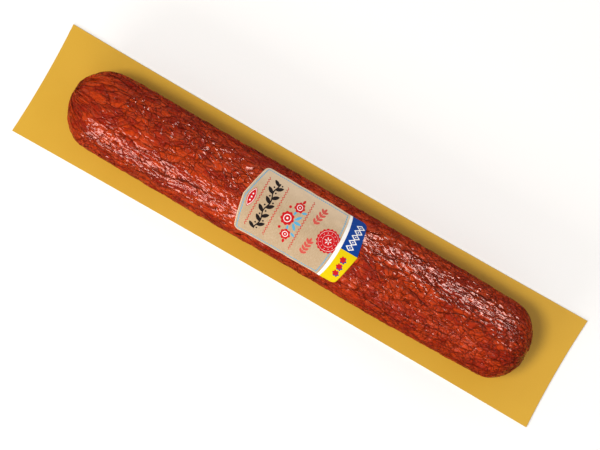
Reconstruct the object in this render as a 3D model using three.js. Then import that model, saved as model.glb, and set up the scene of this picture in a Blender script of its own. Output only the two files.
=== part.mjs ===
// A cured sausage on its gold backing card, with a paper label wrapped over its top.
// Millimetres. +X runs along the sausage, from its gathered end to its blunt end, +Y across it, +Z up.
// The origin is the middle of the card's underside. The shape formulas work on any size below.

import * as THREE from "three";

// ---- Sizes that can be set by themselves ----

const CARD = {
  length: 338, // corner to corner
  width: 70,
  thickness: 1.2,
  endBow: 1.1, // how far each short edge curves in at its middle
  sideBow: 1.0, // the same for the long edges
};

const SAUSAGE = {
  length: 294,
  width: 48.2,
  height: 45.5,
  restDepth: 1.3, // how much of the round underside is pressed flat by lying on the card
  restSoftness: 0.6, // how gently that flat turns into the round side
  gatheredCap: 21, // length of the rounded end where the casing is gathered
  bluntCap: 18.5, // length of the other rounded end
  endSlimming: 0.075, // the sausage is this share slimmer close to its ends
  slimmingReach: 25, // distance over which that slimming fades out
  gatheredPole: { across: 3.6, up: 2 }, // where each end's middle sits from the axis
  bluntPole: { across: -1, up: -5 },
  unevenness: 0.35, // the size of the slow swells in the skin
  pleats: 12, // folds of the casing that run into each end
  pleatDepth: 0.022, // share of the local radius
  pleatReach: 13,
  dimpleDepth: 1.6, // the pucker in the middle of each end
  offsetX: -0.6, // where the sausage lies on the card
  offsetY: 0.7,
};

const LABEL = {
  length: 72.6, // point to point
  gatheredSideWidth: 43.6, // measured round the sausage, at the end towards the gathered cap
  bluntSideWidth: 41.2,
  gatheredPoint: 4.6, // how far the end's point stands out from its corners
  bluntPoint: 4.0,
  cornerRadius: 2.6,
  paper: 0.3,
  offsetX: 0.7, // from the sausage's middle
  offsetRound: -0.4, // from the sausage's ridge, measured round it
};

const CLEARANCE = 0.3; // between pieces that touch

// ---- Fineness of the meshes ----

const ROUND_STEPS = 48;
const CAP_RINGS = 10;
const BODY_RINGS = 34;
const LABEL_ALONG = 20;
const LABEL_ACROSS = 10;
const CORNER_STEPS = 4;

// ---- Worked out from the sizes ----

const RESTING_LEVEL = CARD.thickness + CLEARANCE;
const HALF_LENGTH = SAUSAGE.length / 2;
const HALF_WIDTH = SAUSAGE.width / 2;
const HALF_HEIGHT = (SAUSAGE.height + SAUSAGE.restDepth) / 2;
const AXIS_LEVEL = RESTING_LEVEL + HALF_HEIGHT - SAUSAGE.restDepth;

// 1 at a distance of cap or more from the tip, falling on an ellipse's curve to 0 at the tip.
function roundedEnd(fromTip, cap) {
  return fromTip >= cap ? 1 : Math.sqrt(Math.max(0, 1 - (1 - fromTip / cap) ** 2));
}

// Share of the full radius at x, a distance from the sausage's middle.
function girthAt(x) {
  const fromGathered = HALF_LENGTH + x;
  const fromBlunt = HALF_LENGTH - x;
  const slimming =
    Math.exp(-fromGathered / SAUSAGE.slimmingReach) + Math.exp(-fromBlunt / SAUSAGE.slimmingReach);
  return (
    roundedEnd(fromGathered, SAUSAGE.gatheredCap) *
    roundedEnd(fromBlunt, SAUSAGE.bluntCap) *
    (1 - SAUSAGE.endSlimming * slimming)
  );
}

// Smooth version of max(z, resting level), so that the underside is nearly flat where it rests.
function pressedFlat(z) {
  const above = (z - RESTING_LEVEL) / SAUSAGE.restSoftness;
  return RESTING_LEVEL + SAUSAGE.restSoftness * (above > 30 ? above : Math.log1p(Math.exp(above)));
}

// Slow swells in the skin, in millimetres: three long waves that run round and along the sausage.
function swell(x, angle) {
  const waves =
    Math.sin(2 * angle + x / 34) + Math.sin(3 * angle - x / 23 + 2) + Math.sin(x / 15 + 2 * Math.cos(angle));
  return (SAUSAGE.unevenness * waves) / 3;
}

// A point on the sausage, or lift above its surface. The angle is 0 at +Y and a quarter turn at the top.
function sausagePoint(x, angle, lift = 0) {
  const girth = girthAt(x);
  const fromTip = Math.min(HALF_LENGTH + x, HALF_LENGTH - x);
  const pleats =
    1 + SAUSAGE.pleatDepth * Math.cos(SAUSAGE.pleats * angle) * Math.exp(-fromTip / SAUSAGE.pleatReach);
  const pole = x < 0 ? SAUSAGE.gatheredPole : SAUSAGE.bluntPole;
  const towardsPole = (1 - girth) ** 2;
  const pucker = Math.sign(x) * SAUSAGE.dimpleDepth * Math.max(0, 1 - girth * 4) ** 2;
  const out = swell(x, angle) * girth + lift;
  return new THREE.Vector3(
    SAUSAGE.offsetX + x - pucker,
    SAUSAGE.offsetY + pole.across * towardsPole + (HALF_WIDTH * girth * pleats + out) * Math.cos(angle),
    pressedFlat(AXIS_LEVEL + pole.up * towardsPole + (HALF_HEIGHT * girth * pleats + out) * Math.sin(angle)),
  );
}

// A mesh from its points and its triangles, given as index triples.
function surface(points, triangles) {
  const geometry = new THREE.BufferGeometry().setFromPoints(points);
  geometry.setIndex(triangles.flat());
  geometry.computeVertexNormals();
  return geometry;
}

// Where the rings of the sausage stand: close together in the caps, evenly spaced between them.
function ringStations() {
  const stations = [];
  for (let i = 1; i <= CAP_RINGS; i += 1) {
    const turn = (i / CAP_RINGS) * (Math.PI / 2);
    stations.push(-HALF_LENGTH + SAUSAGE.gatheredCap * (1 - Math.cos(turn)));
  }
  const start = -HALF_LENGTH + SAUSAGE.gatheredCap;
  const end = HALF_LENGTH - SAUSAGE.bluntCap;
  for (let i = 1; i < BODY_RINGS; i += 1) {
    stations.push(start + ((end - start) * i) / BODY_RINGS);
  }
  for (let i = CAP_RINGS; i >= 1; i -= 1) {
    const turn = (i / CAP_RINGS) * (Math.PI / 2);
    stations.push(HALF_LENGTH - SAUSAGE.bluntCap * (1 - Math.cos(turn)));
  }
  return stations;
}

// The sausage: rings of points joined in a closed skin, with one point at each end.
function sausageGeometry() {
  const stations = ringStations();
  const points = [];
  for (const x of stations) {
    for (let k = 0; k < ROUND_STEPS; k += 1) {
      points.push(sausagePoint(x, (k / ROUND_STEPS) * 2 * Math.PI));
    }
  }
  const gatheredPole = points.push(sausagePoint(-HALF_LENGTH, 0)) - 1;
  const bluntPole = points.push(sausagePoint(HALF_LENGTH, 0)) - 1;

  const triangles = [];
  const last = (stations.length - 1) * ROUND_STEPS;
  for (let k = 0; k < ROUND_STEPS; k += 1) {
    const next = (k + 1) % ROUND_STEPS;
    triangles.push([gatheredPole, next, k]);
    triangles.push([bluntPole, last + k, last + next]);
    for (let ring = 0; ring < last; ring += ROUND_STEPS) {
      const [a, b] = [ring + k, ring + next];
      const [c, d] = [a + ROUND_STEPS, b + ROUND_STEPS];
      triangles.push([a, b, d], [a, d, c]);
    }
  }
  return surface(points, triangles);
}

// The label's rows, from its -Y edge to its +Y edge. Each row has its place across, from -1 to 1 of the
// half width, and how far a rounded corner pulls its ends in.
function labelRows() {
  const half = (LABEL.gatheredSideWidth + LABEL.bluntSideWidth) / 4;
  const corner = Math.min(LABEL.cornerRadius, half * 0.9);
  const side = [];
  for (let i = 0; i <= CORNER_STEPS; i += 1) {
    const turn = (i / CORNER_STEPS) * (Math.PI / 2);
    side.push({ across: (half - corner + corner * Math.cos(turn)) / half, pull: corner * (1 - Math.sin(turn)) });
  }
  const inner = side[CORNER_STEPS].across;
  const middle = [];
  for (let i = 1; i < LABEL_ACROSS; i += 1) {
    middle.push({ across: inner * ((2 * i) / LABEL_ACROSS - 1), pull: 0 });
  }
  const mirrored = side.map((row) => ({ across: -row.across, pull: row.pull }));
  return [...mirrored, ...middle, ...side.reverse()];
}

// The label: a sheet with two pointed ends, bent over the sausage, closed round its edge.
function labelGeometry() {
  const rows = labelRows();
  const half = LABEL.length / 2;
  const radius = (HALF_WIDTH + HALF_HEIGHT) / 2;
  const points = [];
  for (const lift of [CLEARANCE, CLEARANCE + LABEL.paper]) {
    for (const { across, pull } of rows) {
      const low = -half + LABEL.gatheredPoint * Math.abs(across) + pull;
      const high = half - LABEL.bluntPoint * Math.abs(across) - pull;
      for (let i = 0; i <= LABEL_ALONG; i += 1) {
        const x = low + ((high - low) * i) / LABEL_ALONG;
        const share = THREE.MathUtils.clamp((x + half) / LABEL.length, 0, 1);
        const width = THREE.MathUtils.lerp(LABEL.gatheredSideWidth, LABEL.bluntSideWidth, share);
        const round = LABEL.offsetRound + (across * width) / 2;
        points.push(sausagePoint(LABEL.offsetX + x, Math.PI / 2 - round / radius, lift));
      }
    }
  }

  const columns = LABEL_ALONG + 1;
  const sheet = rows.length * columns;
  const triangles = [];
  for (let r = 0; r < rows.length - 1; r += 1) {
    for (let i = 0; i < LABEL_ALONG; i += 1) {
      const a = r * columns + i;
      const [b, c, d] = [a + 1, a + columns, a + columns + 1];
      triangles.push([a, c, d], [a, d, b]);
      triangles.push([sheet + a, sheet + d, sheet + c], [sheet + a, sheet + b, sheet + d]);
    }
  }
  // The edge: once round the outline, as pairs of lower and upper points.
  const outline = [];
  for (let i = 0; i < LABEL_ALONG; i += 1) outline.push(i);
  for (let r = 0; r < rows.length - 1; r += 1) outline.push(r * columns + LABEL_ALONG);
  for (let i = LABEL_ALONG; i > 0; i -= 1) outline.push((rows.length - 1) * columns + i);
  for (let r = rows.length - 1; r > 0; r -= 1) outline.push(r * columns);
  outline.forEach((a, i) => {
    const b = outline[(i + 1) % outline.length];
    triangles.push([a, b, sheet + b], [a, sheet + b, sheet + a]);
  });
  return surface(points, triangles);
}

// The card: a flat sheet whose four edges curve in a little between sharp corners.
function cardGeometry() {
  const x = CARD.length / 2;
  const y = CARD.width / 2;
  const near = 0.6; // where each edge's control points stand, as a share of the half side
  const endPull = x - (CARD.endBow * 4) / 3;
  const sidePull = y - (CARD.sideBow * 4) / 3;
  const outline = new THREE.Shape();
  outline.moveTo(-x, -y);
  outline.bezierCurveTo(-x * near, -sidePull, x * near, -sidePull, x, -y);
  outline.bezierCurveTo(endPull, -y * near, endPull, y * near, x, y);
  outline.bezierCurveTo(x * near, sidePull, -x * near, sidePull, -x, y);
  outline.bezierCurveTo(-endPull, y * near, -endPull, -y * near, -x, -y);
  return new THREE.ExtrudeGeometry(outline, { depth: CARD.thickness, bevelEnabled: false, curveSegments: 14 });
}

function piece(name, geometry, color, roughness, metalness) {
  const mesh = new THREE.Mesh(geometry, new THREE.MeshStandardMaterial({ color, roughness, metalness }));
  mesh.name = name;
  return mesh;
}

const sausageOnCard = new THREE.Group();
sausageOnCard.add(
  piece("backing_card", cardGeometry(), 0xdcaa3e, 0.45, 0.1),
  piece("sausage", sausageGeometry(), 0x9a3a1f, 0.4, 0),
  piece("paper_label", labelGeometry(), 0xd4b68e, 0.8, 0),
);

export default sausageOnCard;
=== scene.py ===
# A cured sausage with a paper label, lying on its gold card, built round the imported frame.
# Lengths are millimetres until a mesh is made, where unit turns them into metres.
import math

import bpy
import numpy as np
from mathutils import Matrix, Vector


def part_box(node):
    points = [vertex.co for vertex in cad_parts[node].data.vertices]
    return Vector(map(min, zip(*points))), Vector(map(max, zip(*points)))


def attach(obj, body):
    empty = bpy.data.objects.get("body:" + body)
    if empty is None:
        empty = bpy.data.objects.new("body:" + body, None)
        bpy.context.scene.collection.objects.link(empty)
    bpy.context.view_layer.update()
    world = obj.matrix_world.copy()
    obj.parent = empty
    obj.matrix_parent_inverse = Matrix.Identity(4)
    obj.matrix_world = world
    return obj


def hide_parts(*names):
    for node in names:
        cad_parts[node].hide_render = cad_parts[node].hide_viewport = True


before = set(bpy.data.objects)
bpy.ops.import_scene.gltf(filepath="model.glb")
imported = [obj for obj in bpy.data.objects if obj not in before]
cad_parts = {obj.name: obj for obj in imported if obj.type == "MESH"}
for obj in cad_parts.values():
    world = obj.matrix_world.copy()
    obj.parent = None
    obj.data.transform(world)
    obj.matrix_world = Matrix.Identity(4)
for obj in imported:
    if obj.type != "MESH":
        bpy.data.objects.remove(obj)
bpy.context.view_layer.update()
unit = 0.001
tau = 2 * math.pi


def millimetreBox(name):
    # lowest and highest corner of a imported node
    return [np.array(corner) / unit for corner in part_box(name)]


cardHigh = millimetreBox("backing_card")[1]
cardTop = cardHigh[2]
sausageMiddle = sum(millimetreBox("sausage")) / 2
print("frame loaded: card and sausage measured")


def smoothStep(low, high, value):
    # 0 below low, 1 above high, and the S curve 3t^2 - 2t^3 between them
    share = np.clip((value - low) / (high - low), 0, 1)
    return share * share * (3 - 2 * share)


def madeLong(vectors):
    # each vector divided by its own length
    return vectors / np.maximum(np.linalg.norm(vectors, axis=-1, keepdims=True), 1e-9)


def addObject(name, data):
    made = bpy.data.objects.new(name, data)
    bpy.context.scene.collection.objects.link(made)
    return made


def makePiece(name, points, faces, fields, materials):
    # points and faces become a smooth-shaded mesh, and each field is a number or vector kept at every point
    mesh = bpy.data.meshes.new(name)
    mesh.from_pydata((points * unit).tolist(), [], faces)
    mesh.update()
    for field, values in fields.items():
        kind, key = ("FLOAT_VECTOR", "vector") if values.ndim == 2 else ("FLOAT", "value")
        layer = mesh.attributes.new(field, kind, "POINT")
        layer.data.foreach_set(key, values.astype(np.float32).ravel())
    mesh.shade_smooth()
    for material in materials:
        mesh.materials.append(material)
    return addObject(name, mesh)


def gridFaces(rows, columns):
    # four-sided faces of an open grid whose point number is row * columns + column
    corner = (np.arange(rows - 1)[:, None] * columns + np.arange(columns - 1)).ravel()
    return np.stack([corner, corner + columns, corner + columns + 1, corner + 1], 1).tolist()


def thicken(piece, thickness):
    # a sheet gets its thickness downwards from its face, and the second material round the rim
    wall = piece.modifiers.new("thickness", "SOLIDIFY")
    wall.thickness = thickness * unit
    wall.offset = -1
    wall.material_offset_rim = 1


class NodeMaker:
    # a short way to add and join the nodes of one material or group
    def __init__(self, tree):
        self.tree = tree

    def put(self, socket, value):
        # another node's output is linked, and anything else becomes the socket's own value
        if isinstance(value, bpy.types.NodeSocket):
            self.tree.links.new(value, socket)
        else:
            socket.default_value = value

    def fill(self, node, inputs):
        for key, value in inputs.items():
            self.put(node.inputs[key], value)
        return node

    def add(self, kind, inputs, **settings):
        made = self.tree.nodes.new("ShaderNode" + kind)
        for key, value in settings.items():
            setattr(made, key, value)
        return self.fill(made, inputs)

    def group(self, tree, inputs):
        return self.add("Group", inputs, node_tree=tree).outputs

    def calculate(self, operation, first, second=0.0):
        return self.add("Math", {0: first, 1: second}, operation=operation).outputs[0]

    def largest(self, first, second):
        return self.calculate("MAXIMUM", first, second)

    def times(self, first, *others):
        # all the values multiplied
        for other in others:
            first = self.calculate("MULTIPLY", first, other)
        return first

    def mix(self, share, first, second):
        # the first colour where share is 0, the second where it is 1
        shareInput, firstInput, secondInput, colourOutput = 0, 6, 7, 2
        inputs = {shareInput: share, firstInput: first, secondInput: second}
        return self.add("Mix", inputs, data_type="RGBA").outputs[colourOutput]

    def ramp(self, value, low, high, atLow=0.0, atHigh=1.0):
        # atLow up to low, atHigh from high onwards, and an S curve between them
        inputs = {0: value, 1: low, 2: high, 3: atLow, 4: atHigh}
        return self.add("MapRange", inputs, interpolation_type="SMOOTHSTEP").outputs[0]

    def attribute(self, name, output="Fac"):
        return self.add("Attribute", {}, attribute_name=name).outputs[output]

    def noise(self, vector, cycles, detail=2.0, roughness=0.5):
        inputs = {"Vector": vector, "Scale": cycles, "Detail": detail, "Roughness": roughness}
        return self.add("TexNoise", inputs).outputs["Fac"]

    def stretched(self, vector, stretch):
        # vector with each axis multiplied by its own number
        return self.add("Mapping", {"Vector": vector, "Scale": stretch}).outputs[0]

    def vectorMath(self, operation, inputs):
        return self.add("VectorMath", inputs, operation=operation).outputs[0]

    def bump(self, height, strength, distance, below=None):
        # the normal that a height gives the surface, added to the normal of the relief below it
        made = self.add("Bump", {"Height": height, "Strength": strength, "Distance": abs(distance)})
        made.invert = distance < 0
        if below:
            self.put(made.inputs["Normal"], below)
        return made.outputs[0]


def newMaterial(name, kind=NodeMaker):
    # an empty material, the maker for its nodes, and its surface shader
    material = bpy.data.materials.new(name)
    material.use_nodes = True
    return material, kind(material.node_tree), material.node_tree.nodes["Principled BSDF"]


def newGroup(name, inputs, outputs):
    # an empty node group with its maker; inputs are (name, value) and a value of None is a vector
    tree = bpy.data.node_groups.new(name, "ShaderNodeTree")
    for title, value in inputs:
        kind = "NodeSocketVector" if value is None else "NodeSocketFloat"
        socket = tree.interface.new_socket(title, in_out="INPUT", socket_type=kind)
        if value is not None:
            socket.default_value = value
    for title in outputs:
        tree.interface.new_socket(title, in_out="OUTPUT", socket_type="NodeSocketFloat")
    enter, leave = tree.nodes.new("NodeGroupInput"), tree.nodes.new("NodeGroupOutput")
    return tree, NodeMaker(tree), enter.outputs, leave


def grainGroup():
    # fine noise, and a mask that goes from 0 to 1 over contrast on both sides of the noise's middle
    inputs = [("Vector", None), ("Cycles", 1000.0), ("Contrast", 0.2)]
    tree, maker, enter, leave = newGroup("fineGrain", inputs, ["Height", "Mask"])
    height = maker.noise(enter["Vector"], enter["Cycles"], 3.0, 0.6)
    low = maker.calculate("SUBTRACT", 0.5, enter["Contrast"])
    high = maker.calculate("ADD", 0.5, enter["Contrast"])
    maker.fill(leave, {"Height": height, "Mask": maker.ramp(height, low, high)})
    return tree


grainTree = grainGroup()


def fineGrain(maker, vector, cycles, contrast):
    # the grain placed in a material with its own values
    return maker.group(grainTree, {"Vector": vector, "Cycles": cycles, "Contrast": contrast})


# The gold card. Cycles are per metre, as the nodes read them.
card = {
    "endBow": 1.1,  # how far the short edges curve in at their middles, and the long ones
    "sideBow": 1.0,
    "bowSharpness": 8,  # the higher, the nearer to the edge the curving stays
    "rows": 140,
    "columns": 40,
    "edgeRound": 0.14,  # softening of the cut edges
    "edgeAngle": 50.0,  # only edges that turn by more degrees are softened
    "gold": (0.650, 0.374, 0.034, 1),
    "goldDeep": (0.622, 0.352, 0.028, 1),
    "goldGlint": (0.80, 0.48, 0.09, 1),
    "glint": 0.10,
    "roughness": (0.42, 0.55),
    "grain": (2600.0, 0.22),  # cycles and contrast
    "clouds": 22.0,
    "board": (0.62, 0.52, 0.38, 1),  # the cut edge
    "boardDeep": (0.48, 0.38, 0.25, 1),
    "boardGrain": (3000.0, 0.2),
    "boardLayers": (1, 1, 5),
}


def cardSurface(u, v):
    # x = half length * u, y = half width * v, each less bow * (itself ^ sharpness) * (1 - the other ^ 2)
    sharpness = card["bowSharpness"]
    x = cardHigh[0] * u - card["endBow"] * np.sign(u) * np.abs(u) ** sharpness * (1 - v**2)
    y = cardHigh[1] * v - card["sideBow"] * np.sign(v) * np.abs(v) ** sharpness * (1 - u**2)
    return np.stack([x, y, np.full_like(x, cardTop)], -1)


def cardMaterial():
    # slow clouds between two golds, with a fine brighter grain
    material, maker, shader = newMaterial("goldCard")
    place = maker.add("TexCoord", {}).outputs["Object"]
    grain = fineGrain(maker, place, *card["grain"])
    cloud = maker.noise(place, card["clouds"], 3.0)
    tone = maker.mix(maker.ramp(cloud, 0.3, 0.7), card["gold"], card["goldDeep"])
    tone = maker.mix(maker.times(grain["Mask"], card["glint"]), tone, card["goldGlint"])
    finish = {
        "Base Color": tone,
        "Roughness": maker.ramp(cloud, 0.25, 0.75, *card["roughness"]),
        "Specular IOR Level": 0.3,
        "Normal": maker.bump(grain["Height"], 0.25, 0.00003),
    }
    maker.fill(shader, finish)
    return material


def boardMaterial():
    # bare board in thin layers, seen at the cut edge
    material, maker, shader = newMaterial("cutBoardEdge")
    place = maker.stretched(maker.add("TexCoord", {}).outputs["Object"], card["boardLayers"])
    grain = fineGrain(maker, place, *card["boardGrain"])
    tone = maker.mix(grain["Mask"], card["board"], card["boardDeep"])
    normal = maker.bump(grain["Height"], 0.4, 0.00005)
    maker.fill(shader, {"Base Color": tone, "Roughness": 0.85, "Normal": normal})
    return material


def buildCard():
    rows, columns = card["rows"], card["columns"]
    u, v = np.meshgrid(np.linspace(-1, 1, rows), np.linspace(-1, 1, columns), indexing="ij")
    points = cardSurface(u, v).reshape(-1, 3)
    piece = makePiece("gold_card", points, gridFaces(rows, columns), {}, [cardMaterial(), boardMaterial()])
    thicken(piece, cardTop)
    soft = piece.modifiers.new("softEdge", "BEVEL")
    soft.width = card["edgeRound"] * unit
    soft.segments = 2
    soft.limit_method = "ANGLE"
    soft.angle_limit = math.radians(card["edgeAngle"])
    soft.harden_normals = True
    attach(piece, "root")
    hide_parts("backing_card")


buildCard()
print("card built")

# The sausage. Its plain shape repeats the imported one, and its wrinkles are added on top.
sausage = {
    "length": 294.0,
    "width": 48.2,
    "height": 45.5,
    "restDepth": 1.3,  # how much of the round underside lies flat on the card
    "restSoftness": 0.6,
    "gatheredCap": 21.0,  # lengths of the rounded ends
    "bluntCap": 18.5,
    "endSlimming": 0.075,
    "slimmingReach": 25.0,
    "gatheredPole": (3.6, 2.0),  # across and up, from the axis
    "bluntPole": (-1.0, -5.0),
    "unevenness": 0.35,
    "swells": (34.0, 23.0, 15.0),  # how quickly the slow swells change along the sausage
    "dimpleDepth": 1.6,
    "dimpleReach": 0.25,  # share of the radius
    "rings": 396,
    "columns": 248,
    "crowding": 0.35,  # how much closer the lengthwise lines of points stand on top than on the underside
    "smoothByLabel": (0.3, 3.0),  # wrinkles grow over these distances from the label and from the card
    "smoothByCard": (0.2, 2.2),
    "smoothByPole": (0.0, 0.3),  # and over these shares of the radius
    "pressedIn": 0.04,  # what the label presses the skin in by
    "cardGap": 0.02,
}
bendRadius = (sausage["width"] + sausage["height"] + sausage["restDepth"]) / 4


def roundedEnd(fromTip, cap):
    # an ellipse's quarter: 0 at the tip, 1 from cap onwards
    return np.sqrt(np.clip(1 - np.clip(1 - fromTip / cap, 0, 1) ** 2, 0, 1))


def girthAt(x):
    # share of the full radius: both rounded ends multiplied, less a slimming that fades from each tip
    fromGathered = sausage["length"] / 2 + x
    fromBlunt = sausage["length"] / 2 - x
    reach = sausage["slimmingReach"]
    slimming = np.exp(-fromGathered / reach) + np.exp(-fromBlunt / reach)
    ends = roundedEnd(fromGathered, sausage["gatheredCap"]) * roundedEnd(fromBlunt, sausage["bluntCap"])
    return ends * (1 - sausage["endSlimming"] * slimming)


def swellsAt(x, angle):
    # the mean of three waves that wind round the sausage at different rates
    slow, middling, quick = sausage["swells"]
    winding = np.sin(2 * angle + x / slow) + np.sin(3 * angle - x / middling + 2)
    return (winding + np.sin(x / quick + 2 * np.cos(angle))) / 3


def plainSkin(x, angle):
    # rings of radius girth + swells round the axis; a height h over the card becomes softness * ln(1 + e^h)
    girth = girthAt(x)
    out = sausage["unevenness"] * swellsAt(x, angle) * girth
    poles = [
        np.where(x < 0, gathered, blunt) * (1 - girth) ** 2
        for gathered, blunt in zip(sausage["gatheredPole"], sausage["bluntPole"])
    ]
    pucker = np.sign(x) * sausage["dimpleDepth"] * np.clip(1 - girth / sausage["dimpleReach"], 0, 1) ** 2
    halfWidth = sausage["width"] / 2
    halfHeight = (sausage["height"] + sausage["restDepth"]) / 2
    y = sausageMiddle[1] + poles[0] + (halfWidth * girth + out) * np.cos(angle)
    aboveCard = halfHeight - sausage["restDepth"] + poles[1] + (halfHeight * girth + out) * np.sin(angle)
    softness = sausage["restSoftness"]
    z = cardTop + softness * np.logaddexp(0, aboveCard / softness)
    return np.stack([sausageMiddle[0] + x - pucker, y, z], -1)


def tipToTip():
    # places along the axis from one tip to the other, and how far each is from the first over the skin
    capPlaces, straightPlaces = 400, 900
    turn = np.linspace(0, math.pi / 2, capPlaces)
    gathered = -sausage["length"] / 2 + sausage["gatheredCap"] * (1 - np.cos(turn))
    blunt = sausage["length"] / 2 - sausage["bluntCap"] * (1 - np.cos(turn))
    straight = np.linspace(gathered[-1], blunt[-1], straightPlaces)[1:-1]
    x = np.concatenate([gathered, straight, blunt[::-1]])
    radius = sausage["width"] / 2 * girthAt(x)
    return x, np.concatenate([[0], np.cumsum(np.hypot(np.diff(x), np.diff(radius)))])


axisPlace, skinPlace = tipToTip()

# The wrinkles, on the flattened casing, along the sausage and round it. A layer's slope is how far from its
# groove its top is reached, and its groove is how wide the dark line of painted shade is, in cells or by the
# field's value.
casing = {
    "seed": 11,
    "mapLength": 340.0,  # the flattened casing that the random fields cover
    "mapAround": 151.0,
    "mapRows": 1024,
    "mapColumns": 480,
    "jitter": 0.45,  # how far the middles of the plates stray, in plates
    "plates": {"size": (6.4, 3.0), "depth": 0.60, "slope": 0.26, "groove": 0.16, "seed": 4},
    "scales": {"size": (3.6, 1.9), "depth": 0.22, "slope": 0.30, "groove": 0.20, "seed": 5},
    "folds": {"depth": 0.62, "slope": 0.26, "groove": 0.13},
    "pleats": {"count": 34, "depth": 1.2, "slope": 0.8, "groove": 0.45},
    "pleatReach": 23.0,  # from the gathered tip, and how sharply they end there
    "pleatFade": 2.2,
    "platesInPatch": 0.7,  # inside the patches of small scales the large plates are this much as strong
    "platesOutside": 1.1,
    "scalesOutside": 0.25,
    "scaleShade": 0.6,
    "leftByPleats": 0.3,  # what the pleats leave of the other layers
    "lumpHeight": 0.07,  # gentle swells
    "fineHeight": 0.07,
    "tiltHeight": 0.22,  # how unevenly high the plates stand
    "tiltSlope": 0.3,
    "meander": 1.4,  # how far the pattern is bent, in wide waves and in small ones
    "flutter": 0.5,
    "foldFlutter": 0.4,
}
# Random fields: wavelength along and round, how widely the wavelengths spread, and the seed
casingFields = {
    "bendAlong": (20.0, 10.0, 0.5, 1),
    "bendAround": (18.0, 9.0, 0.5, 2),
    "flutter": (7.0, 3.6, 0.4, 3),
    "fold": (26.0, 6.0, 0.35, 6),
    "patch": (34.0, 24.0, 0.4, 7),
    "lump": (13.0, 8.0, 0.4, 8),
    "pleat": (70.0, casing["mapAround"] / casing["pleats"]["count"], 0.22, 9),
    "fine": (8.0, 4.0, 0.4, 12),
}
mapSize = (casing["mapRows"], casing["mapColumns"])
mapStep = (casing["mapLength"] / mapSize[0], casing["mapAround"] / mapSize[1])


def randomField(along, around, spread, seed):
    # noise kept only near one wavelength along and one round, by a bell curve over the log of the share
    noise = np.random.default_rng(casing["seed"] + seed).standard_normal(mapSize)
    cyclesAlong = np.fft.fftfreq(mapSize[0], mapStep[0])[:, None]
    cyclesAround = np.fft.rfftfreq(mapSize[1], mapStep[1])[None, :]
    share = np.maximum(np.hypot(cyclesAlong * along, cyclesAround * around), 1e-6)
    bell = np.exp(-((np.log(share) / spread) ** 2) / 2)
    field = np.fft.irfft2(np.fft.rfft2(noise) * bell, s=mapSize)
    return field / field.std()


def fieldAt(name, along, around):
    # the named field at each place, straight between its four nearest values
    field = randomField(*casingFields[name])
    row, column = along / mapStep[0], around / mapStep[1]
    row0, column0 = np.floor(row).astype(int), np.floor(column).astype(int)
    rowShare, columnShare = row - row0, column - column0
    near, far = row0 % mapSize[0], (row0 + 1) % mapSize[0]
    left, right = column0 % mapSize[1], (column0 + 1) % mapSize[1]
    nearValue = field[near, left] * (1 - columnShare) + field[near, right] * columnShare
    farValue = field[far, left] * (1 - columnShare) + field[far, right] * columnShare
    return nearValue * (1 - rowShare) + farValue * rowShare


def cells(along, around, layer):
    # cells round points shaken off a brick pattern: how far inside its edge a place is, and its cell's number
    rows = round(casing["mapLength"] / layer["size"][0])
    columns = 2 * round(casing["mapAround"] / layer["size"][1] / 2)
    rng = np.random.default_rng(casing["seed"] + layer["seed"])
    shakeAlong, shakeAround = rng.uniform(-casing["jitter"], casing["jitter"], (2, rows, columns))
    number = rng.uniform(0, 1, (rows, columns))
    u, v = along / casing["mapLength"] * rows, around / casing["mapAround"] * columns
    farAway, neighbours = 9.0, range(-2, 3)
    nearest, second, owner = np.full(u.shape, farAway), np.full(u.shape, farAway), np.zeros(u.shape)
    for stepAlong in neighbours:
        for stepAround in neighbours:
            cellRow = np.floor(u).astype(int) + stepAlong
            cellColumn = np.floor(v).astype(int) + stepAround
            cell = (cellRow % rows, cellColumn % columns)
            pointAlong = cellRow + 0.5 + 0.5 * (cellColumn % 2) + shakeAlong[cell]
            pointAround = cellColumn + 0.5 + shakeAround[cell]
            distance = np.hypot(u - pointAlong, v - pointAround)
            closer = distance < nearest
            second = np.where(closer, nearest, np.minimum(second, distance))
            owner = np.where(closer, number[cell], owner)
            nearest = np.where(closer, distance, nearest)
    return second - nearest, owner


def lumps(along, around):
    # the meat's own gentle unevenness, which the label follows too: lump height * field
    return casing["lumpHeight"] * fieldAt("lump", along, around)


def pillow(edge, slope):
    # 0 in the groove between two cells, bulging to 1 at slope inside it: 1 - (1 - edge/slope)^2
    return 1 - (1 - np.clip(edge / slope, 0, 1)) ** 2


def sunk(edge, layer):
    # what a layer takes away: depth * (pillow - 1)
    return layer["depth"] * (pillow(edge, layer["slope"]) - 1)


def inGroove(edge, layer):
    # 1 in the groove and 0 from its reach onwards
    return 1 - smoothStep(0.0, layer["groove"], edge)


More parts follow.
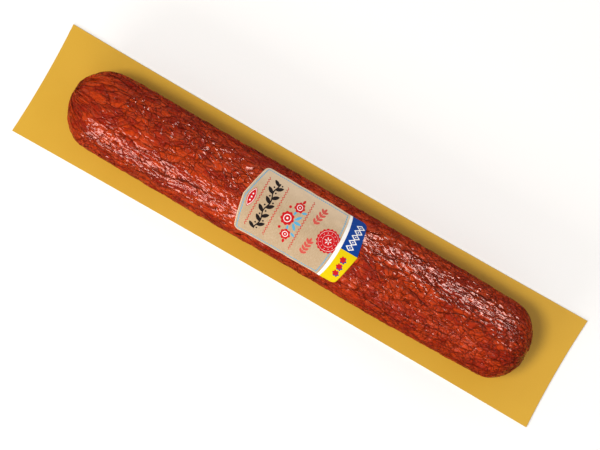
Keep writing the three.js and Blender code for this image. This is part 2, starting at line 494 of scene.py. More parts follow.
def wrinkles(along, around):
    # flat-topped plates with steep grooves between them, cut by long folds, with pleats at the gathered end
    plateLayer, scaleLayer = casing["plates"], casing["scales"]
    foldLayer, pleatLayer = casing["folds"], casing["pleats"]
    flutter = fieldAt("flutter", along, around)
    bendAlong = casing["meander"] * fieldAt("bendAlong", along, around) + casing["flutter"] * flutter
    bendAround = casing["meander"] * fieldAt("bendAround", along, around) + casing["flutter"] * flutter
    movedAlong, movedAround = along + bendAlong, around + bendAround / 2
    plateEdge, plateNumber = cells(movedAlong, movedAround, plateLayer)
    scaleEdge = cells(movedAlong, movedAround, scaleLayer)[0]
    fold = np.abs(fieldAt("fold", along, around + casing["foldFlutter"] * flutter))
    patch = smoothStep(-0.9, 0.9, fieldAt("patch", along, around))
    plateShare = casing["platesOutside"] * (1 - patch) + casing["platesInPatch"] * patch
    height = sunk(plateEdge, plateLayer) * plateShare + sunk(fold, foldLayer)
    height += sunk(scaleEdge, scaleLayer) * (casing["scalesOutside"] * (1 - patch) + patch)
    height += casing["tiltHeight"] * (plateNumber - 0.5) * pillow(plateEdge, casing["tiltSlope"])
    height += casing["fineHeight"] * fieldAt("fine", along, around)
    gathered = np.exp(-((along / casing["pleatReach"]) ** casing["pleatFade"]))
    pleat = np.abs(fieldAt("pleat", along, around))
    kept = 1 - gathered * (1 - casing["leftByPleats"])
    height = height * kept + sunk(pleat, pleatLayer) * gathered
    groove = np.maximum(inGroove(plateEdge, plateLayer), inGroove(fold, foldLayer))
    groove = np.maximum(groove, casing["scaleShade"] * inGroove(scaleEdge, scaleLayer) * patch)
    groove = groove * (1 - gathered) + gathered * inGroove(pleat, pleatLayer)
    return height, groove


# The label, whose outline the skin beneath it follows too
label = {
    "length": 72.6,
    "gatheredWidth": 43.6,  # measured round the sausage
    "bluntWidth": 41.2,
    "gatheredPoint": 4.6,  # how far each end's middle stands out past its corners
    "bluntPoint": 4.0,
    "corner": 2.6,
    "along": 0.7,  # from the sausage's middle
    "around": -0.4,  # from its ridge, towards +Y
    "paper": 0.2,
    "lift": 0.10,
    "rows": 240,
    "columns": 150,
    "cornerColumns": 10,
}


def labelWidth(x):
    # half the label's width at x, straight from one end's to the other's
    share = np.clip(x / label["length"] + 0.5, 0, 1)
    return (label["gatheredWidth"] * (1 - share) + label["bluntWidth"] * share) / 2


def labelOutline(x, y):
    # signed distance to two sides and two slanting ends, rounded at their corners, below 0 inside
    half, corner = label["length"] / 2, label["corner"]
    side = np.abs(y) - labelWidth(x)
    ends = []
    for sign, name in ((-1, "gathered"), (1, "blunt")):
        tilt = 2 * label[name + "Point"] / label[name + "Width"]
        ends.append((sign * x - half + tilt * np.abs(y)) / math.hypot(1, tilt))
    end = np.maximum(*ends)
    beyond = np.hypot(np.maximum(side + corner, 0), np.maximum(end + corner, 0))
    return np.minimum(np.maximum(side, end) + corner, 0) + beyond - corner


def sausageShape():
    # the plain skin moved along its normals by the wrinkles, which fade by the label, card and poles
    over = np.linspace(0, skinPlace[-1], sausage["rings"])
    even = np.arange(sausage["columns"]) / sausage["columns"] * tau
    x, even = np.meshgrid(np.interp(over, skinPlace, axisPlace), even, indexing="ij")
    along = np.broadcast_to(over[:, None], x.shape)
    angle = even + sausage["crowding"] * np.cos(even)
    around = angle / tau * casing["mapAround"]
    plain = plainSkin(x, angle)
    aroundStep = np.roll(plain, -1, axis=1) - np.roll(plain, 1, axis=1)
    normal = madeLong(np.cross(aroundStep, np.gradient(plain, axis=0)))
    labelX = x - label["along"]
    labelY = (math.pi / 2 - angle) * bendRadius - label["around"]
    covered = 1 - smoothStep(*sausage["smoothByLabel"], labelOutline(labelX, labelY))
    free = smoothStep(*sausage["smoothByCard"], plain[..., 2] - cardTop)
    free = free * smoothStep(*sausage["smoothByPole"], girthAt(x))
    height, groove = wrinkles(along, around)
    move = (height * (1 - covered) - sausage["pressedIn"] * covered + lumps(along, around)) * free
    points = plain + normal * move[..., None]
    points[..., 2] = np.maximum(points[..., 2], cardTop + sausage["cardGap"])
    flow = np.stack([along, bendRadius * np.cos(angle), bendRadius * np.sin(angle)], -1) * unit
    return points, groove * (1 - covered), flow


def onePointTips(grid):
    # the grid's values in one row, where each of the two end rings is a single point
    return np.concatenate([grid[0, :1], grid[1:-1].reshape(-1, *grid.shape[2:]), grid[-1, :1]])


def closedFaces(rings, columns):
    # four-sided faces between the inner rings, whose first point is number 1, and a fan at each tip
    column = np.arange(columns)
    following = (column + 1) % columns
    start = 1 + np.arange(rings - 1)[:, None] * columns
    after = start + columns
    walls = np.stack([start + column, start + following, after + following, after + column], -1)
    lastRing, lastTip = 1 + (rings - 1) * columns, 1 + rings * columns
    firstFan = np.stack([np.zeros_like(column), 1 + following, 1 + column], -1)
    lastFan = np.stack([np.full_like(column, lastTip), lastRing + column, lastRing + following], -1)
    return walls.reshape(-1, 4).tolist() + firstFan.tolist() + lastFan.tolist()


def buildSausage(material):
    points, hollow, flow = [onePointTips(grid) for grid in sausageShape()]
    faces = closedFaces(sausage["rings"] - 2, sausage["columns"])
    piece = makePiece("dried_sausage", points, faces, {"hollow": hollow, "flow": flow}, [material])
    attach(piece, "root")
    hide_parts("sausage")


# The casing's look, with painted shade in its cracks and valleys and painted highlight on the plates'
# shoulders. Its lengths are metres and its cycles are per metre, as the nodes read them.
casingLook = {
    "half": (0.16, 0.26),  # from the gathered tip: where its half's look gives way to the blunt half's
    "plateDark": (0.325, 0.011, 0.001, 1),
    "plateBright": (0.585, 0.046, 0.001, 1),
    "streak": (0.25, 0.011, 0.002, 1),
    "shoulderHighlight": (0.64, 0.125, 0.045, 1),  # painted highlight: the plates' edges beside the creases made pale
    # painted shade in the valleys between the plates
    "valley": (0.16, 0.006, 0.001, 1),
    "bluntTint": (0.75, 0.055, 0.001, 1),
    # painted shade in the cracks and creases
    "crackShade": (0.075, 0.007, 0.002, 1),
    "streakShare": 0.35,
    "shoulderHighlightShare": (0.34, 0.14, 0.24),  # how strong the painted highlight is on the gathered half, on the blunt one, and where that one begins
    "valleyShadeShare": (0.05, 0.25),
    "tintShare": (0.0, 0.10),
    "hollowShade": (0.6, 1.0),
    "creaseDepth": 0.0005,
    "grainDepth": 0.00006,
    "bodyShine": 0.06,
    "coatRoughness": 0.16,
    "coatIor": 1.62,
    # how the pattern wanders: cycles, reach and stretch; the creases from end to end twist as well
    "wideBend": (70.0, 0.005, 0.5),
    "smallBend": (320.0, 0.0012, 0.6),
    "twist": (42.0, 0.010, 0.6),
    "tip": (0.016, 0.034),  # from the gathered tip: where its pleats give way to the other creases
    "clearedAtTip": 0.8,  # how much of those the pleats take away
    "patchCycles": 38.0,  # patches of small cells, and their strength on each half
    "patchShare": (0.4, 1.0, 0.29),
    # creases from end to end: how many, how wide in millimetres, and the noise that shows only parts of them;
    # the cut of every layer is its depth and the strength of its painted shade and highlight
    "longCreases": {"count": 19, "width": 0.56, "cycles": 62.0, "shown": (0.44, 0.53), "cut": (1.1, 1.0)},
    "nextCreases": {"count": 31, "width": 0.42, "cycles": 83.0, "shown": (0.49, 0.57), "cut": (0.9, 0.85)},
    # cracks: stretch and cycles, and the width on the gathered half and on the blunt one; the pleats have
    # the reach of their lines and of their valleys instead
    "thinCracks": {"stretch": 0.5, "cycles": 240.0, "width": (0.018, 0.018), "cut": (0.3, 0.15)},
    "wideCells": {"stretch": 0.55, "cycles": 190.0, "width": (0.0105, 0.014), "cut": (0.75, 0.85)},
    "smallCells": {"stretch": 0.65, "cycles": 340.0, "width": (0.014, 0.0165), "cut": (0.9, 0.9)},
    "pleats": {"stretch": 0.07, "cycles": 190.0, "line": 0.03, "valley": 0.09, "cut": (1.2, 0.9)},
}


def wandered(maker, vector, cycles, reach, lengthwise):
    # vector pushed about by up to reach, by a noise that is 1/lengthwise times as long along the sausage
    place = maker.stretched(vector, (lengthwise, 1, 1))
    wander = maker.add("TexNoise", {"Vector": place, "Scale": cycles, "Detail": 1.0}).outputs["Color"]
    middled = maker.vectorMath("SUBTRACT", {0: wander, 1: (0.5, 0.5, 0.5)})
    pushed = maker.vectorMath("SCALE", {0: middled, "Scale": reach * 2})
    return maker.vectorMath("ADD", {0: vector, 1: pushed})


class CasingMaker(NodeMaker):
    # a node maker that knows each place on the casing, the same place bent about, and how far along it is
    def __init__(self, tree):
        super().__init__(tree)
        self.flow = self.attribute("flow", "Vector")
        self.fromTip = self.add("SeparateXYZ", {0: self.flow}).outputs[0]
        widelyBent = wandered(self, self.flow, *casingLook["wideBend"])
        self.bent = wandered(self, widelyBent, *casingLook["smallBend"])

    def byHalf(self, gathered, blunt, end=casingLook["half"][1]):
        # gathered on the gathered half and blunt on the other, with an S curve between them
        return self.ramp(self.fromTip, casingLook["half"][0], end, gathered, blunt)


def crackGroup():
    # thin lines where a stretched noise crosses its middle, and along the edges of stretched cells
    inputs = [("Vector", None), ("Stretch", 0.25), ("Cycles", 100.0), ("Width", 0.02)]
    outputs = ["Line", "LineValley", "Cell", "CellValley", "Tone"]
    tree, maker, enter, leave = newGroup("thinCracks", inputs, outputs)
    cycles, width = enter["Cycles"], enter["Width"]
    lineValley, cellLine, cellValley = [maker.times(width, share) for share in (2.6, 4.0, 16.0)]
    stretch = maker.add("CombineXYZ", {"X": enter["Stretch"], "Y": 1.0, "Z": 1.0}).outputs[0]
    place = maker.vectorMath("MULTIPLY", {0: enter["Vector"], 1: stretch})
    wave = maker.noise(place, cycles, 1.5, 0.45)
    fromMiddle = maker.calculate("ABSOLUTE", maker.calculate("SUBTRACT", wave, 0.5))
    cell = {"Vector": place, "Scale": cycles}
    edge = maker.add("TexVoronoi", cell, feature="DISTANCE_TO_EDGE").outputs["Distance"]
    colour = maker.add("TexVoronoi", cell).outputs["Color"]
    results = {
        "Line": maker.ramp(fromMiddle, 0.0, width, 1.0, 0.0),
        "LineValley": maker.ramp(fromMiddle, 0.0, lineValley, 1.0, 0.0),
        "Cell": maker.ramp(edge, 0.0, cellLine, 1.0, 0.0),
        "CellValley": maker.ramp(edge, 0.0, cellValley, 1.0, 0.0),
        "Tone": maker.add("SeparateColor", {0: colour}).outputs[0],
    }
    maker.fill(leave, results)
    return tree


crackTree = crackGroup()


def cracks(maker, look):
    # the cracks placed on the casing, with their width changing from one half to the other
    inputs = {
        "Vector": maker.bent,
        "Stretch": look["stretch"],
        "Cycles": look["cycles"],
        "Width": maker.byHalf(*look["width"]),
    }
    return maker.group(crackTree, inputs)


def lengthwiseCreases(maker, twisted, look):
    # lines from end to end, 1 in the middle and 0 at their width, with wider valleys, where a noise is high
    valleyWidths = 2.4
    parts = maker.add("SeparateXYZ", {0: twisted}).outputs
    angle = maker.calculate("ARCTAN2", parts[2], parts[1])
    share = maker.calculate("FRACT", maker.times(angle, look["count"] / tau))
    away = maker.calculate("ABSOLUTE", maker.calculate("SUBTRACT", share, 0.5))
    reach = look["count"] * look["width"] / casing["mapAround"]
    drawnOut = maker.stretched(maker.flow, (0.3, 1, 1))
    shown = maker.ramp(maker.noise(drawnOut, look["cycles"], 1.0), *look["shown"])
    line = maker.ramp(away, 0.0, reach, 1.0, 0.0)
    valley = maker.ramp(away, 0.0, reach * valleyWidths, 1.0, 0.0)
    return maker.times(line, shown), maker.times(valley, shown)


def pleatCreases(maker, look):
    # lines where a noise drawn out along the sausage crosses its middle, and wider valleys
    wave = maker.noise(maker.stretched(maker.flow, (look["stretch"], 1, 1)), look["cycles"], 1.0)
    away = maker.calculate("ABSOLUTE", maker.calculate("SUBTRACT", wave, 0.5))
    return maker.ramp(away, 0.0, look["line"], 1.0, 0.0), maker.ramp(away, 0.0, look["valley"], 1.0, 0.0)


def creaseLayers(maker):
    # each layer's thin lines, wide valleys, where it shows and its cut; and a tone for each plate
    look = casingLook
    twisted = wandered(maker, maker.bent, *look["twist"])
    thin, wide, small = [cracks(maker, look[name]) for name in ("thinCracks", "wideCells", "smallCells")]
    atTip = maker.ramp(maker.fromTip, *look["tip"], 1.0, 0.0)
    pastTip = maker.calculate("SUBTRACT", 1.0, maker.times(atTip, look["clearedAtTip"]))
    patch = maker.ramp(maker.noise(maker.flow, look["patchCycles"]), 0.42, 0.58)
    patch = maker.largest(patch, maker.byHalf(*look["patchShare"]))
    layers = (
        (*lengthwiseCreases(maker, twisted, look["longCreases"]), pastTip, look["longCreases"]["cut"]),
        (*lengthwiseCreases(maker, twisted, look["nextCreases"]), pastTip, look["nextCreases"]["cut"]),
        (thin["Line"], thin["LineValley"], pastTip, look["thinCracks"]["cut"]),
        (wide["Cell"], wide["CellValley"], pastTip, look["wideCells"]["cut"]),
        (small["Cell"], small["CellValley"], patch, look["smallCells"]["cut"]),
        (*pleatCreases(maker, look["pleats"]), atTip, look["pleats"]["cut"]),
    )
    return layers, maker.mix(0.5, wide["Tone"], small["Tone"])


def creaseMasks(maker, layers):
    # depths add up; of the dark lines and valleys, which carry painted shade, and the shoulders, which carry
    # painted highlight, the strongest at a place counts
    hollow = maker.calculate("POWER", maker.attribute("hollow"), 2.5)
    dark = maker.times(hollow, maker.byHalf(*casingLook["hollowShade"]))
    depth, deepest, shoulderHighlight = 0.0, 0.0, 0.0
    for line, valley, where, (deep, shade) in layers:
        # painted highlight: the shoulder beside each valley is made paler
        rimHighlight = maker.times(maker.ramp(valley, 0.04, 0.3), maker.ramp(valley, 0.35, 0.8, 1.0, 0.0))
        depth = maker.calculate("ADD", maker.times(valley, where, deep), depth)
        dark = maker.largest(dark, maker.times(line, where, shade))
        deepest = maker.largest(deepest, maker.times(valley, where, shade))
        shoulderHighlight = maker.largest(shoulderHighlight, maker.times(rimHighlight, where, shade))
    return depth, dark, deepest, shoulderHighlight


def casingColour(maker, plateTone, streak, dark, deepest, shoulderHighlight):
    # uneven plates, then streaks, painted highlight on the shoulders, painted shade in the valleys, the blunt
    # half's warmth and painted shade in the dark lines
    look = casingLook
    cloud = maker.noise(maker.stretched(maker.bent, (0.5, 1, 1)), 75.0, 3.0, 0.6)
    brightness = maker.ramp(maker.mix(0.35, cloud, plateTone), 0.36, 0.64)
    streaks = maker.times(maker.ramp(streak, 0.5, 0.75), look["streakShare"])
    paintedShoulderHighlight = maker.times(shoulderHighlight, maker.byHalf(*look["shoulderHighlightShare"]), maker.ramp(streak, 0.35, 0.6))
    colour = look["plateDark"]
    for share, name in (
        (brightness, "plateBright"),
        (streaks, "streak"),
        (paintedShoulderHighlight, "shoulderHighlight"),
        (maker.times(deepest, maker.byHalf(*look["valleyShadeShare"])), "valley"),
        (maker.byHalf(*look["tintShare"]), "bluntTint"),
        (dark, "crackShade"),
    ):
        colour = maker.mix(share, colour, look[name])
    return colour


def casingMaterial():
    # dull skin under a clear coat, which is missing from the cracks and thin in the valleys
    material, maker, shader = newMaterial("driedCasing", CasingMaker)
    layers, plateTone = creaseLayers(maker)
    depth, dark, deepest, shoulderHighlight = creaseMasks(maker, layers)
    streak = maker.noise(maker.stretched(maker.bent, (0.3, 1, 1)), 420.0, 3.0, 0.6)
    uncoated = maker.largest(dark, maker.times(deepest, 0.45))
    grain = fineGrain(maker, maker.stretched(maker.flow, (0.5, 1, 1)), 1500.0, 0.2)
    creased = maker.bump(depth, 1.0, -casingLook["creaseDepth"])
    finish = {
        "Base Color": casingColour(maker, plateTone, streak, dark, deepest, shoulderHighlight),
        "Roughness": maker.ramp(streak, 0.35, 0.7, 0.3, 0.45),
        "Specular IOR Level": casingLook["bodyShine"],
        "Coat Weight": maker.ramp(uncoated, 0.1, 0.7, 1.0, 0.0),
        "Coat Roughness": casingLook["coatRoughness"],
        "Coat IOR": casingLook["coatIor"],
        "Normal": maker.bump(grain["Height"], 0.25, casingLook["grainDepth"], creased),
    }
    maker.fill(shader, finish)
    return material


buildSausage(casingMaterial())
print("sausage built")

# The label's print: places and sizes on the flattened label, x along the sausage and y round it
layout = {
    "bandMiddle": 25.6,  # where the coloured bands begin, on the centre line and at the edges
    "bandEdge": 22.9,
    "bandReach": 21.0,  # how far the edges are from the centre line
    "bandSplit": 0.3,
    "stripWidth": 2.2,
    "stripTaper": 0.3,  # what the strip loses of its width at the edges
    "borderInset": 1.5,
    "borderWidth": 0.8,
    "borderDash": 1.3,
    "stitchRows": (-27.4, -15.7, 0.7),
    "stitchReach": 15.6,
    "badge": (-31.2, 0.4),
    "garland": -21.3,
    "garlandReach": 15.0,
    "flowers": -1.8,
    "sprigs": (((7.2, 9.3), 78, 12.5), ((8.4, -8.9), 84, 11.5)),  # middle, direction and length
    "seal": (17.7, 0.2),
    "sealRadius": 6.6,
    "ornaments": 29.9,  # how far along the bands' own ornaments stand
    "inkReach": 1.2,  # the farthest distance from an ink's edge that is kept
}
inks = {
    "paper": (0.475, 0.330, 0.197, 1),
    "paperLight": (0.550, 0.420, 0.275, 1),
    "paperDark": (0.385, 0.253, 0.139, 1),
    "paperPaintedLight": (0.76, 0.58, 0.40, 1),  # painted light: what the paper fades towards at its +Y edge, where the lamps leave it darker
    "cutEdge": (0.80, 0.68, 0.50, 1),
    "red": (0.555, 0.008, 0.012, 1),
    "softRed": (0.60, 0.085, 0.065, 1),
    "sky": (0.10, 0.38, 0.58, 1),
    "dark": (0.012, 0.009, 0.009, 1),
    "white": (0.88, 0.87, 0.85, 1),
    "bandBlue": (0.0, 0.046, 0.275, 1),
    "bandYellow": (0.73, 0.545, 0.0, 1),
}


# Shapes below give the signed distance to their edge, below 0 inside.
def joined(*shapes):
    # several shapes as one: the least of their distances
    return np.minimum.reduce(shapes)


def towards(degrees):
    # a step of 1 in this direction: cosine and sine
    return np.array([math.cos(math.radians(degrees)), math.sin(math.radians(degrees))])


def turned(x, y, centre, degrees):
    # place measured from centre, along a direction and across it
    cos, sin = towards(degrees)
    return (x - centre[0]) * cos + (y - centre[1]) * sin, (y - centre[1]) * cos - (x - centre[0]) * sin


def disc(x, y, centre, radius):
    # distance from the centre, less the radius
    return np.hypot(x - centre[0], y - centre[1]) - radius


def ring(x, y, centre, radius, width):
    # distance from a circle, less half the line's width
    return np.abs(disc(x, y, centre, radius)) - width / 2


def leaf(x, y, centre, degrees, length, width):
    # where two equal circles overlap: a pointed oval of this length and width
    p, q = turned(x, y, centre, degrees)
    radius = (length**2 / 4 + width**2 / 4) / width
    return np.hypot(p, np.abs(q) + radius - width / 2) - radius


def bar(x, y, centre, degrees, length, width):
    # distance from a straight line of this length, less half the width
    p, q = turned(x, y, centre, degrees)
    return np.hypot(np.maximum(np.abs(p) - length / 2, 0), q) - width / 2


def lozenge(x, y, centre, halfLong, halfWide):
    # four slanting sides, where |p|/halfLong + |q|/halfWide is 1
    p, q = np.abs(x - centre[0]), np.abs(y - centre[1])
    return (p * halfWide + q * halfLong - halfLong * halfWide) / math.hypot(halfLong, halfWide)


def blossom(x, y, centre, radius, petals, depth):
    # a circle whose radius swells and shrinks once for each petal
    p, q = x - centre[0], y - centre[1]
    return np.hypot(p, q) - radius - depth * np.cos(petals * np.arctan2(q, p))


def wavingLine(x, y, middle, sway, swayRate, width, reach):
    # a line across the label: |x - middle - sway sin(rate y)| less half its width, cut off at reach
    return np.maximum(np.abs(x - middle - sway * np.sin(y * swayRate)) - width / 2, np.abs(y) - reach)


def sprig(x, y, centre, degrees, length):
    # a stem with a leaf at its end and four pairs of leaves along it, turned away from the stem
    leafTurn, leafAside, leafForward = 42, 1.15, 0.8
    forward = towards(degrees)
    aside = np.array([-forward[1], forward[0]])
    shapes = [bar(x, y, centre, degrees, length * 0.8, 0.45)]
    shapes.append(leaf(x, y, centre + forward * length * 0.42, degrees, 3.0, 1.3))
    for place in np.linspace(-0.34, 0.26, 4):
        for sign in (-1, 1):
            middle = centre + forward * (length * place + leafForward) + aside * sign * leafAside
            shapes.append(leaf(x, y, middle, degrees + sign * leafTurn, 3.1, 1.4))
    return joined(*shapes)


def garland(x, y):
    # a waving stem across the label, with a leaf and a berry on each side in turn
    middle, reach = layout["garland"], layout["garlandReach"]
    sway, swayRate, leafCount, leafTurn, leafAside, berryAside = 0.7, 0.55, 11, 52, 1.85, 3.3
    shapes = [wavingLine(x, y, middle, sway, swayRate, 0.72, reach)]
    for step, place in enumerate(np.linspace(-1, 1, leafCount) * (reach - 1.2)):
        sign = 1 if step % 2 else -1
        centre = (middle + sway * math.sin(place * swayRate) + sign * leafAside, place + 0.5)
        shapes.append(leaf(x, y, centre, 90 - sign * leafTurn, 5.0, 2.15))
        shapes.append(disc(x, y, (centre[0] - sign * berryAside, place + 0.2), 0.52))
    return joined(*shapes)


def flowerRow(x, y):
    # a large flower between two smaller ones, with leaves that fan out from one point below them
    base = layout["flowers"]
    middle = (base - 6.4, 0)
    red = [blossom(x, y, middle, 3.7, 9, 0.28)]
    white = [ring(x, y, middle, 2.0, 0.42), disc(x, y, middle, 0.6)]
    sky = [leaf(x, y, (base - 0.2, 0), 0, 5.0, 1.7)]
    for sign in (-1, 1):
        flower = (base - 3.2, sign * 8.3)
        red += [blossom(x, y, flower, 2.9, 7, 0.3), disc(x, y, (base - 8.0, sign * 6.2), 0.8)]
        red.append(leaf(x, y, (base - 2.4, sign * 12.3), sign * 80, 2.8, 1.5))
        white += [ring(x, y, flower, 1.5, 0.38), disc(x, y, flower, 0.4)]
        sky.append(leaf(x, y, (base - 0.9, sign * 2.6), sign * 48, 4.8, 1.6))
        sky.append(leaf(x, y, (base - 3.9, sign * 4.5), sign * 78, 3.2, 1.3))
        sky.append(leaf(x, y, (base + 0.6, sign * 6.6), sign * 24, 3.4, 1.3))
    return joined(*red), joined(*white), joined(*sky)


def seal(x, y):
    # a scalloped disc with two thin rings, dots between them and a star of leaves in the middle
    centre, radius = layout["seal"], layout["sealRadius"]
    scallops, dots, points = 18, 12, 6
    white = [ring(x, y, centre, radius * 0.84, 0.20), ring(x, y, centre, radius * 0.5, 0.18)]
    for turn in np.arange(dots) / dots * 360:
        white.append(disc(x, y, centre + towards(turn) * radius * 0.67, 0.22))
    for turn in np.arange(points) / points * 360:
        white.append(leaf(x, y, centre + towards(turn) * radius * 0.2, turn, 2.0, 0.50))
    return blossom(x, y, centre, radius, scallops, 0.3), joined(*white)


def badge(x, y):
    # a long pointed oval with a thin line inside its edge and three small lozenges
    centre = layout["badge"]
    white = [np.abs(leaf(x, y, centre, 90, 10.0, 3.7)) - 0.16]
    white += [lozenge(x, y, (centre[0], centre[1] + step), 0.6, 0.6) for step in (-1.9, 0, 1.9)]
    return leaf(x, y, centre, 90, 11.5, 4.6), joined(*white)


def bandOrnaments(x, y):
    # five outlined lozenges with dots on the blue band, three shadowed flowers on the yellow one
    shadowShift = 0.45
    white, red, shadow = [], [], []
    for place in 2.9 + np.arange(5) * 3.3:
        centre = (layout["ornaments"], place)
        white += [np.abs(lozenge(x, y, centre, 2.2, 1.45)) - 0.27, disc(x, y, centre, 0.38)]
    for place in -4.6 - np.arange(3) * 4.4:
        centre = (layout["ornaments"], place)
        red.append(blossom(x, y, centre, 1.65, 6, 0.34))
        shadow.append(blossom(x, y, (centre[0] + shadowShift, place - shadowShift), 1.7, 6, 0.34))
    return joined(*white), joined(*red), joined(*shadow)


def dashedBorder(x, y, kraft):
    # a line inside the bare paper's outline, cut into slanting dashes
    dash, dashSlope, dashHalf = layout["borderDash"], 0.92, 0.3
    line = np.abs(kraft + layout["borderInset"]) - layout["borderWidth"] / 2
    return np.maximum(line, np.abs((x + y) / dash % 1 - 0.5) * dashSlope - dashHalf)


def labelPrint(x, y):
    # the signed distance to each ink, below 0 where it is printed; the bands' edges bow with y^2
    bow = (y / layout["bandReach"]) ** 2
    bandStart = layout["bandMiddle"] - (layout["bandMiddle"] - layout["bandEdge"]) * bow
    stripStart = bandStart - layout["stripWidth"] * (1 - layout["stripTaper"] * bow)
    outline = labelOutline(x, y)
    stitches = [wavingLine(x, y, row, 0.4, 3.6, 0.54, layout["stitchReach"]) for row in layout["stitchRows"]]
    flowerRed, flowerWhite, flowerSky = flowerRow(x, y)
    sealRed, sealWhite = seal(x, y)
    badgeRed, badgeWhite = badge(x, y)
    bandWhite, bandRed, bandShadow = bandOrnaments(x, y)
    strip = np.maximum(stripStart - x, x - bandStart)
    fields = {
        "edge": outline,
        "bandBlue": np.maximum(bandStart - x, layout["bandSplit"] - y),
        "bandYellow": np.maximum(bandStart - x, y - layout["bandSplit"]),
        "shadow": bandShadow,
        "red": joined(*stitches, flowerRed, sealRed, badgeRed, bandRed),
        "softRed": joined(*[sprig(x, y, *place) for place in layout["sprigs"]]),
        "sky": joined(dashedBorder(x, y, np.maximum(outline, x - stripStart)), flowerSky),
        "dark": garland(x, y),
        "white": joined(strip, flowerWhite, sealWhite, badgeWhite, bandWhite),
    }
    reach = layout["inkReach"]
    return {"ink_" + name: np.clip(value, -reach, reach) for name, value in fields.items()}


def acrossPlaces():
    # columns over the label's width: evenly spaced round the corners' arcs, then evenly between them
    corner = label["corner"]
    half = (label["gatheredWidth"] + label["bluntWidth"]) / 4
    turn = np.linspace(0, math.pi / 2, label["cornerColumns"] + 1)
    side = (half - corner + corner * np.cos(turn)) / half
    pull = corner * (1 - np.sin(turn))
    middle = np.linspace(side[-1], -side[-1], label["columns"])[1:-1]
    across = np.concatenate([-side, middle[::-1], side[::-1]])
    return across, np.concatenate([pull, np.zeros(len(middle)), pull[::-1]])


def labelSheet():
    # the flat label as x and y, for a grid whose rows run from one pointed end to the other
    across, pull = acrossPlaces()
    u, v = np.meshgrid(np.linspace(0, 1, label["rows"]), across, indexing="ij")
    half = label["length"] / 2
    low = -half + label["gatheredPoint"] * np.abs(v) + pull
    high = half - label["bluntPoint"] * np.abs(v) - pull
    x = low + (high - low) * u
    return x, v * labelWidth(x)


def buildLabel(materials):
    # the sheet bent round the plain skin, and raised from it by the lumps, its lift and its thickness
    x, y = labelSheet()
    place = x + label["along"]
    angle = math.pi / 2 - (y + label["around"]) / bendRadius
    plain = plainSkin(place, angle)
    normal = madeLong(np.cross(np.gradient(plain, axis=0), np.gradient(plain, axis=1)))
    around = angle / tau * casing["mapAround"]
    rise = lumps(np.interp(place, axisPlace, skinPlace), around) + label["lift"] + label["paper"]
    points = (plain + normal * rise[..., None]).reshape(-1, 3)
    fields = {name: value.ravel() for name, value in labelPrint(x, y).items()}
    fields["sheet"] = np.stack([x, y, np.zeros_like(x)], -1).reshape(-1, 3) * unit
    piece = makePiece("printed_label", points, gridFaces(*x.shape), fields, materials)
    thicken(piece, label["paper"])
    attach(piece, "root")
    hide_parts("paper_label")


def kraftPaper(maker, place):
    # kraft paper's colour: short fibres, a few dark flecks and slow clouds, and painted light that makes it
    # paler towards the +Y edge
    fibre = maker.noise(maker.stretched(place, (1, 0.35, 1)), 1900.0, 4.0, 0.65)
    grain = fineGrain(maker, place, 2600.0, 0.1)["Height"]
    cloud = maker.noise(place, 160.0, 3.0)
    across = maker.add("SeparateXYZ", {0: place}).outputs[1]
    colour = maker.mix(maker.ramp(fibre, 0.35, 0.7), inks["paper"], inks["paperLight"])
    colour = maker.mix(maker.times(maker.ramp(grain, 0.62, 0.72), 0.55), colour, inks["paperDark"])
    colour = maker.mix(maker.times(maker.ramp(cloud, 0.3, 0.7), 0.18), colour, inks["paperDark"])
    # painted light: paler towards the +Y edge, against the shade that side gets from the lamps
    return maker.mix(maker.ramp(across, 0.002, 0.021, 0.0, 0.8), colour, inks["paperPaintedLight"]), fibre


def labelMaterial():
    # the inks laid over the kraft one after another, each thinner where the fibres stand out
    material, maker, shader = newMaterial("printedKraft")
    colour, fibre = kraftPaper(maker, maker.attribute("sheet", "Vector"))
    # painted highlight: a pale band just inside the label's outline, in the cut edge's colour
    rimHighlight = maker.ramp(maker.attribute("ink_edge"), -0.55, -0.25)
    colour = maker.mix(maker.times(rimHighlight, 0.7), colour, inks["cutEdge"])
    wear = maker.ramp(fibre, 0.25, 0.5, 0.98, 1.0)
    inkSoftness = 0.07  # how gently an ink's edge fades, in millimetres
    for field in ("bandBlue", "bandYellow", "shadow", "softRed", "sky", "red", "dark", "white"):
        ink = inks["bandBlue" if field == "shadow" else field]
        printed = maker.ramp(maker.attribute("ink_" + field), inkSoftness, -inkSoftness)
        colour = maker.mix(maker.times(printed, wear), colour, ink)
    finish = {
        "Base Color": colour,
        "Roughness": maker.ramp(fibre, 0.3, 0.7, 0.62, 0.8),
        "Specular IOR Level": 0.1,
        "Normal": maker.bump(fibre, 0.35, 0.00005),
    }
    maker.fill(shader, finish)
    return material


def labelEdgeMaterial():
    # the paper's pale cut edge, mottled by its fibres
    material, maker, shader = newMaterial("cutPaperEdge")
    fibre = maker.noise(maker.attribute("sheet", "Vector"), 2500.0, 3.0)
    tone = maker.mix(fibre, inks["cutEdge"], inks["paperLight"])
    maker.fill(shader, {"Base Color": tone, "Roughness": 0.85})
    return material


buildLabel([labelMaterial(), labelEdgeMaterial()])
print("label built")

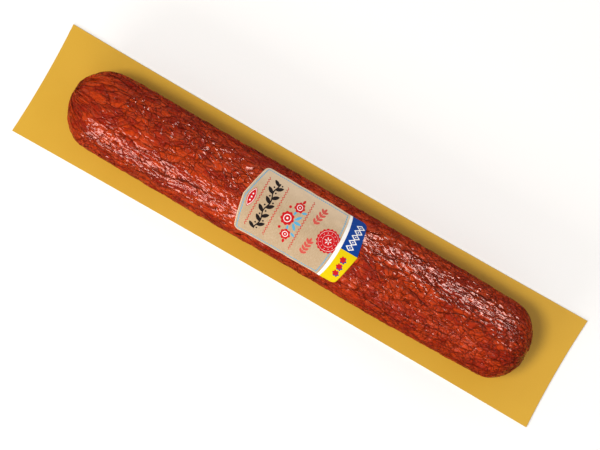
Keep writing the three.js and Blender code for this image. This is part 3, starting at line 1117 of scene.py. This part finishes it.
# Studio: a pale floor, soft boxes on both sides, and the camera straight above, turned against the sausage
studio = {
    "cameraHeight": 1500.0,
    "sensorWidth": 36.0,
    "viewWidth": 341.8,  # what the picture's width covers, at the level of the floor
    "turn": 30.0,
    "aimAt": (-0.13, 0.45),
    "floorSize": 6000.0,
    "floorDrop": 0.05,
    "floorColour": (0.93, 0.93, 0.92, 1),
    "air": 0.53,  # light from all round, and how much of it shows in gloss
    "airInGloss": 0.015,
    "lightColour": (1.0, 0.96, 0.92),
    "shineColour": (1.0, 0.76, 0.69),
    # each box's place, the point it faces, its size and power: the first two light, the others only shine
    "lights": {
        "topBox": ((-1230, -880, 4400), (0, 0, 20), (1060, 1060), 121.0),
        "leftFill": ((-150, -520, 330), (-130, 0, 30), (370, 160), 1.3),
    },
    "shines": {
        "leftBox": ((-165, -420, 270), (-145, 0, 30), (280, 200), 1.55),
        "rightBox": ((200, 385, 315), (190, 0, 30), (370, 220), 3.15),
        "endBox": ((540, 130, 330), (140, 0, 30), (150, 200), 0.7),
        "glintBox": ((170, -400, 300), (170, 0, 30), (200, 90), 0.10),
    },
}


def buildFloor():
    # a flat square just below the card, which gloss doesn't mirror
    half = studio["floorSize"] / 2
    u, v = np.meshgrid([-half, half], [-half, half], indexing="ij")
    points = np.stack([u, v, np.full_like(u, -studio["floorDrop"])], -1).reshape(-1, 3)
    material, maker, shader = newMaterial("paleFloor")
    maker.fill(shader, {"Base Color": studio["floorColour"], "Roughness": 0.9})
    floor = makePiece("floor", points, gridFaces(2, 2), {}, [material])
    floor.visible_glossy = False


def softBox(name, shines, place, aim, size, power):
    # an area light at a place, facing another, that either lights surfaces or only shows in their gloss
    data = bpy.data.lights.new(name, "AREA")
    data.shape = "RECTANGLE"
    data.size, data.size_y = size[0] * unit, size[1] * unit
    data.energy = power
    data.color = studio["shineColour" if shines else "lightColour"]
    box = addObject(name, data)
    box.location = Vector(place) * unit
    box.rotation_mode = "QUATERNION"
    box.rotation_quaternion = (Vector(aim) * unit - box.location).to_track_quat("-Z", "Y")
    box.visible_glossy = shines
    box.visible_diffuse = not shines


def buildAir():
    # even light from all round, dimmed for the rays that gloss sends out
    world = bpy.data.worlds.new("studioAir")
    world.use_nodes = True
    bpy.context.scene.world = world
    maker = NodeMaker(world.node_tree)
    glossy = maker.add("LightPath", {}).outputs["Is Glossy Ray"]
    dimmed = maker.times(glossy, studio["air"] - studio["airInGloss"])
    strength = maker.calculate("SUBTRACT", studio["air"], dimmed)
    maker.fill(world.node_tree.nodes["Background"], {"Color": (1, 1, 1, 1), "Strength": strength})


def buildCamera():
    # straight above, with the lens that makes the floor viewWidth wide: sensor * height / width
    camera = bpy.data.cameras.new("camera")
    camera.sensor_width = studio["sensorWidth"]
    camera.lens = studio["sensorWidth"] * studio["cameraHeight"] / studio["viewWidth"]
    camera.clip_end = 20
    body = addObject("camera", camera)
    body.location = Vector((*studio["aimAt"], studio["cameraHeight"])) * unit
    body.rotation_euler = (0, 0, math.radians(studio["turn"]))
    bpy.context.scene.camera = body
    bpy.context.scene.view_settings.view_transform = "Standard"


buildFloor()
buildAir()
for name, box in studio["lights"].items():
    softBox(name, False, *box)
for name, box in studio["shines"].items():
    softBox(name, True, *box)
buildCamera()
print("floor, lights and camera set")
